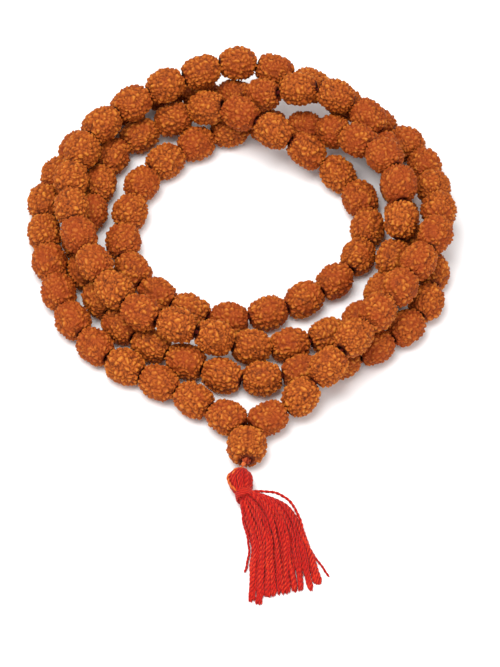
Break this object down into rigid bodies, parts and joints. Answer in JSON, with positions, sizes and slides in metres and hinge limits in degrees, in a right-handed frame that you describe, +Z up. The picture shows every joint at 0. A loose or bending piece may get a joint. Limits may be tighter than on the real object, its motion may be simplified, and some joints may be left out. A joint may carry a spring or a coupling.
{
  "type": "prayer mala",
  "caption": "String of knobbly seed beads with a guru bead and a thread tassel, closed in a loop and wound in loose turns, for counting repetitions.",
  "frame": {"origin": "on the surface the mala lies on, in the middle of its outline", "axes": "+Z up from the surface, and -Y towards the tassel's tips"},
  "size_m": [0.0982, 0.1495, 0.0186],
  "materials": {
    "seed_bead": "dry, knobbly seed, orange brown with darker furrows",
    "guru_seed": "dry, knobbly seed, orange brown with darker furrows",
    "cord_thread": "twisted cotton thread",
    "link_thread": "twisted cotton thread",
    "tassel_thread": "soft twisted thread with a light sheen"
  },
  "bodies": {
    "root": {"stringing_cord": "cord_thread", "cord_knot": "cord_thread", "beads_turn_1": "seed_bead", "beads_turn_2": "seed_bead", "beads_turn_3": "seed_bead", "beads_turn_4": "seed_bead"},
    "guru_bead": {"guru_bead": "guru_seed"},
    "tassel_link": {"tassel_link": "link_thread"},
    "tassel": {"tassel_loop": "link_thread", "tassel_head": "tassel_thread", "neck_binding": "tassel_thread", "tassel_skirt": "tassel_thread"},
    "bead_002": {"bead_002": "seed_bead"},
    "bead_004": {"bead_004": "seed_bead"},
    "bead_006": {"bead_006": "seed_bead"},
    "bead_008": {"bead_008": "seed_bead"},
    "bead_010": {"bead_010": "seed_bead"},
    "bead_012": {"bead_012": "seed_bead"},
    "bead_014": {"bead_014": "seed_bead"},
    "bead_016": {"bead_016": "seed_bead"},
    "bead_018": {"bead_018": "seed_bead"},
    "bead_020": {"bead_020": "seed_bead"},
    "bead_022": {"bead_022": "seed_bead"},
    "bead_024": {"bead_024": "seed_bead"},
    "bead_029": {"bead_029": "seed_bead"},
    "bead_031": {"bead_031": "seed_bead"},
    "bead_033": {"bead_033": "seed_bead"},
    "bead_035": {"bead_035": "seed_bead"},
    "bead_037": {"bead_037": "seed_bead"},
    "bead_039": {"bead_039": "seed_bead"},
    "bead_041": {"bead_041": "seed_bead"},
    "bead_043": {"bead_043": "seed_bead"},
    "bead_045": {"bead_045": "seed_bead"},
    "bead_047": {"bead_047": "seed_bead"},
    "bead_049": {"bead_049": "seed_bead"},
    "bead_051": {"bead_051": "seed_bead"},
    "bead_056": {"bead_056": "seed_bead"},
    "bead_058": {"bead_058": "seed_bead"},
    "bead_060": {"bead_060": "seed_bead"},
    "bead_062": {"bead_062": "seed_bead"},
    "bead_064": {"bead_064": "seed_bead"},
    "bead_066": {"bead_066": "seed_bead"},
    "bead_068": {"bead_068": "seed_bead"},
    "bead_070": {"bead_070": "seed_bead"},
    "bead_072": {"bead_072": "seed_bead"},
    "bead_074": {"bead_074": "seed_bead"},
    "bead_076": {"bead_076": "seed_bead"},
    "bead_078": {"bead_078": "seed_bead"},
    "bead_083": {"bead_083": "seed_bead"},
    "bead_085": {"bead_085": "seed_bead"},
    "bead_087": {"bead_087": "seed_bead"},
    "bead_089": {"bead_089": "seed_bead"},
    "bead_091": {"bead_091": "seed_bead"},
    "bead_093": {"bead_093": "seed_bead"},
    "bead_095": {"bead_095": "seed_bead"},
    "bead_097": {"bead_097": "seed_bead"},
    "bead_099": {"bead_099": "seed_bead"},
    "bead_101": {"bead_101": "seed_bead"},
    "bead_103": {"bead_103": "seed_bead"},
    "bead_105": {"bead_105": "seed_bead"}
  },
  "joints": [
    {"name": "tassel_swing", "type": "hinge", "parent": "root", "child": "tassel_link", "pos_m": [0.00055, -0.04025, 0.0045], "axis": [0, 0, 1], "range_deg": [-30, 30]},
    {"name": "tassel_lift", "type": "hinge", "parent": "tassel_link", "child": "tassel", "pos_m": [0.00055, -0.04025, 0.0045], "axis": [-0.9799, -0.1994, 0], "range_deg": [0, 60]},
    {"name": "guru_spin", "type": "hinge", "parent": "root", "child": "guru_bead", "pos_m": [0.00125, -0.0353, 0.0045], "axis": [0, 1, 0], "continuous": true},
    {"name": "bead_002_spin", "type": "hinge", "parent": "root", "child": "bead_002", "pos_m": [0.01314, -0.02253, 0.00561], "axis": [0.7035, 0.5927, 0.3922], "continuous": true},
    {"name": "bead_004_spin", "type": "hinge", "parent": "root", "child": "bead_004", "pos_m": [0.02495, -0.01063, 0.01173], "axis": [0.6191, 0.7842, 0.0413], "continuous": true},
    {"name": "bead_006_spin", "type": "hinge", "parent": "root", "child": "bead_006", "pos_m": [0.03552, 0.00401, 0.01159], "axis": [0.5374, 0.8427, -0.0331], "continuous": true},
    {"name": "bead_008_spin", "type": "hinge", "parent": "root", "child": "bead_008", "pos_m": [0.04392, 0.01996, 0.01097], "axis": [0.322, 0.9423, -0.092], "continuous": true},
    {"name": "bead_010_spin", "type": "hinge", "parent": "root", "child": "bead_010", "pos_m": [0.04411, 0.03742, 0.00719], "axis": [-0.1458, 0.9613, -0.2339], "continuous": true},
    {"name": "bead_012_spin", "type": "hinge", "parent": "root", "child": "bead_012", "pos_m": [0.03846, 0.05396, 0.00402], "axis": [-0.65, 0.7592, -0.0319], "continuous": true},
    {"name": "bead_014_spin", "type": "hinge", "parent": "root", "child": "bead_014", "pos_m": [0.02407, 0.06397, 0.00698], "axis": [-0.8619, 0.4056, 0.3042], "continuous": true},
    {"name": "bead_016_spin", "type": "hinge", "parent": "root", "child": "bead_016", "pos_m": [0.00779, 0.0698, 0.01206], "axis": [-0.9426, 0.2199, 0.2514], "continuous": true},
    {"name": "bead_018_spin", "type": "hinge", "parent": "root", "child": "bead_018", "pos_m": [-0.00952, 0.0677, 0.01391], "axis": [-0.9271, -0.3717, -0.048], "continuous": true},
    {"name": "bead_020_spin", "type": "hinge", "parent": "root", "child": "bead_020", "pos_m": [-0.02544, 0.05955, 0.01185], "axis": [-0.7904, -0.6058, -0.0908], "continuous": true},
    {"name": "bead_022_spin", "type": "hinge", "parent": "root", "child": "bead_022", "pos_m": [-0.03684, 0.04589, 0.01053], "axis": [-0.3835, -0.9204, -0.0767], "continuous": true},
    {"name": "bead_024_spin", "type": "hinge", "parent": "root", "child": "bead_024", "pos_m": [-0.03873, 0.02822, 0.01112], "axis": [0.0954, -0.9915, 0.0888], "continuous": true},
    {"name": "bead_029_spin", "type": "hinge", "parent": "root", "child": "bead_029", "pos_m": [-0.01432, -0.00714, 0.01169], "axis": [0.943, -0.3201, -0.0908], "continuous": true},
    {"name": "bead_031_spin", "type": "hinge", "parent": "root", "child": "bead_031", "pos_m": [0.00215, -0.00795, 0.00512], "axis": [0.9433, 0.1164, -0.311], "continuous": true},
    {"name": "bead_033_spin", "type": "hinge", "parent": "root", "child": "bead_033", "pos_m": [0.0195, -0.00371, 0.004], "axis": [0.9053, 0.4248, 0], "continuous": true},
    {"name": "bead_035_spin", "type": "hinge", "parent": "root", "child": "bead_035", "pos_m": [0.03162, 0.00884, 0.004], "axis": [0.3363, 0.9417, 0], "continuous": true},
    {"name": "bead_037_spin", "type": "hinge", "parent": "root", "child": "bead_037", "pos_m": [0.03628, 0.02413, 0.01125], "axis": [0.1009, 0.8552, 0.5084], "continuous": true},
    {"name": "bead_039_spin", "type": "hinge", "parent": "root", "child": "bead_039", "pos_m": [0.03281, 0.04096, 0.01431], "axis": [-0.5587, 0.8229, -0.1029], "continuous": true},
    {"name": "bead_041_spin", "type": "hinge", "parent": "root", "child": "bead_041", "pos_m": [0.02142, 0.05353, 0.00861], "axis": [-0.584, 0.6424, -0.4964], "continuous": true},
    {"name": "bead_043_spin", "type": "hinge", "parent": "root", "child": "bead_043", "pos_m": [0.00611, 0.05978, 0.004], "axis": [-0.9998, 0.018, 0], "continuous": true},
    {"name": "bead_045_spin", "type": "hinge", "parent": "root", "child": "bead_045", "pos_m": [-0.01061, 0.05393, 0.004], "axis": [-0.8321, -0.5547, 0], "continuous": true},
    {"name": "bead_047_spin", "type": "hinge", "parent": "root", "child": "bead_047", "pos_m": [-0.02321, 0.04128, 0.004], "axis": [-0.4344, -0.9007, 0], "continuous": true},
    {"name": "bead_049_spin", "type": "hinge", "parent": "root", "child": "bead_049", "pos_m": [-0.02712, 0.02374, 0.004], "axis": [0.0443, -0.999, 0], "continuous": true},
    {"name": "bead_051_spin", "type": "hinge", "parent": "root", "child": "bead_051", "pos_m": [-0.01902, 0.00816, 0.004], "axis": [0.7836, -0.6213, 0], "continuous": true},
    {"name": "bead_056_spin", "type": "hinge", "parent": "root", "child": "bead_056", "pos_m": [0.0212, 0.0122, 0.004], "axis": [0.7071, 0.7071, 0], "continuous": true},
    {"name": "bead_058_spin", "type": "hinge", "parent": "root", "child": "bead_058", "pos_m": [0.02892, 0.02808, 0.004], "axis": [0.0922, 0.9957, 0], "continuous": true},
    {"name": "bead_060_spin", "type": "hinge", "parent": "root", "child": "bead_060", "pos_m": [0.02229, 0.04419, 0.00459], "axis": [-0.7148, 0.6631, 0.2222], "continuous": true},
    {"name": "bead_062_spin", "type": "hinge", "parent": "root", "child": "bead_062", "pos_m": [0.00741, 0.05112, 0.01165], "axis": [-0.8647, 0.4354, 0.2505], "continuous": true},
    {"name": "bead_064_spin", "type": "hinge", "parent": "root", "child": "bead_064", "pos_m": [-0.00813, 0.05941, 0.01047], "axis": [-0.8832, 0.223, -0.4127], "continuous": true},
    {"name": "bead_066_spin", "type": "hinge", "parent": "root", "child": "bead_066", "pos_m": [-0.02385, 0.05643, 0.004], "axis": [-0.8043, -0.594, -0.0135], "continuous": true},
    {"name": "bead_068_spin", "type": "hinge", "parent": "root", "child": "bead_068", "pos_m": [-0.03279, 0.04144, 0.004], "axis": [-0.1843, -0.9829, 0], "continuous": true},
    {"name": "bead_070_spin", "type": "hinge", "parent": "root", "child": "bead_070", "pos_m": [-0.03694, 0.02388, 0.004], "axis": [-0.0715, -0.9974, 0], "continuous": true},
    {"name": "bead_072_spin", "type": "hinge", "parent": "root", "child": "bead_072", "pos_m": [-0.03183, 0.00677, 0.004], "axis": [0.4572, -0.8893, 0], "continuous": true},
    {"name": "bead_074_spin", "type": "hinge", "parent": "root", "child": "bead_074", "pos_m": [-0.02014, -0.00661, 0.004], "axis": [0.8517, -0.5241, 0], "continuous": true},
    {"name": "bead_076_spin", "type": "hinge", "parent": "root", "child": "bead_076", "pos_m": [-0.00427, -0.0152, 0.004], "axis": [0.9435, -0.3314, 0], "continuous": true},
    {"name": "bead_078_spin", "type": "hinge", "parent": "root", "child": "bead_078", "pos_m": [0.01348, -0.01421, 0.004], "axis": [0.967, 0.2547, 0], "continuous": true},
    {"name": "bead_083_spin", "type": "hinge", "parent": "root", "child": "bead_083", "pos_m": [0.04337, 0.01496, 0.004], "axis": [-0.06, 0.9982, 0], "continuous": true},
    {"name": "bead_085_spin", "type": "hinge", "parent": "root", "child": "bead_085", "pos_m": [0.0369, 0.03165, 0.004], "axis": [-0.2339, 0.9722, 0], "continuous": true},
    {"name": "bead_087_spin", "type": "hinge", "parent": "root", "child": "bead_087", "pos_m": [0.03338, 0.04865, 0.00723], "axis": [-0.3739, 0.8053, 0.4602], "continuous": true},
    {"name": "bead_089_spin", "type": "hinge", "parent": "root", "child": "bead_089", "pos_m": [0.02203, 0.05968, 0.01438], "axis": [-0.9131, 0.3118, 0.2627], "continuous": true},
    {"name": "bead_091_spin", "type": "hinge", "parent": "root", "child": "bead_091", "pos_m": [0.00483, 0.0622, 0.01178], "axis": [-0.8623, 0.2546, -0.4377], "continuous": true},
    {"name": "bead_093_spin", "type": "hinge", "parent": "root", "child": "bead_093", "pos_m": [-0.00955, 0.0693, 0.00415], "axis": [-0.9721, 0.2002, -0.1224], "continuous": true},
    {"name": "bead_095_spin", "type": "hinge", "parent": "root", "child": "bead_095", "pos_m": [-0.0265, 0.06557, 0.004], "axis": [-0.7967, -0.6044, 0], "continuous": true},
    {"name": "bead_097_spin", "type": "hinge", "parent": "root", "child": "bead_097", "pos_m": [-0.03839, 0.05219, 0.004], "axis": [-0.4692, -0.8831, 0], "continuous": true},
    {"name": "bead_099_spin", "type": "hinge", "parent": "root", "child": "bead_099", "pos_m": [-0.04538, 0.03561, 0.004], "axis": [-0.165, -0.9863, 0], "continuous": true},
    {"name": "bead_101_spin", "type": "hinge", "parent": "root", "child": "bead_101", "pos_m": [-0.04361, 0.01772, 0.004], "axis": [0.2185, -0.9758, 0], "continuous": true},
    {"name": "bead_103_spin", "type": "hinge", "parent": "root", "child": "bead_103", "pos_m": [-0.03785, 0.00067, 0.004], "axis": [0.4932, -0.8699, 0], "continuous": true},
    {"name": "bead_105_spin", "type": "hinge", "parent": "root", "child": "bead_105", "pos_m": [-0.02586, -0.01258, 0.004], "axis": [0.8478, -0.5304, 0], "continuous": true}
  ]
}
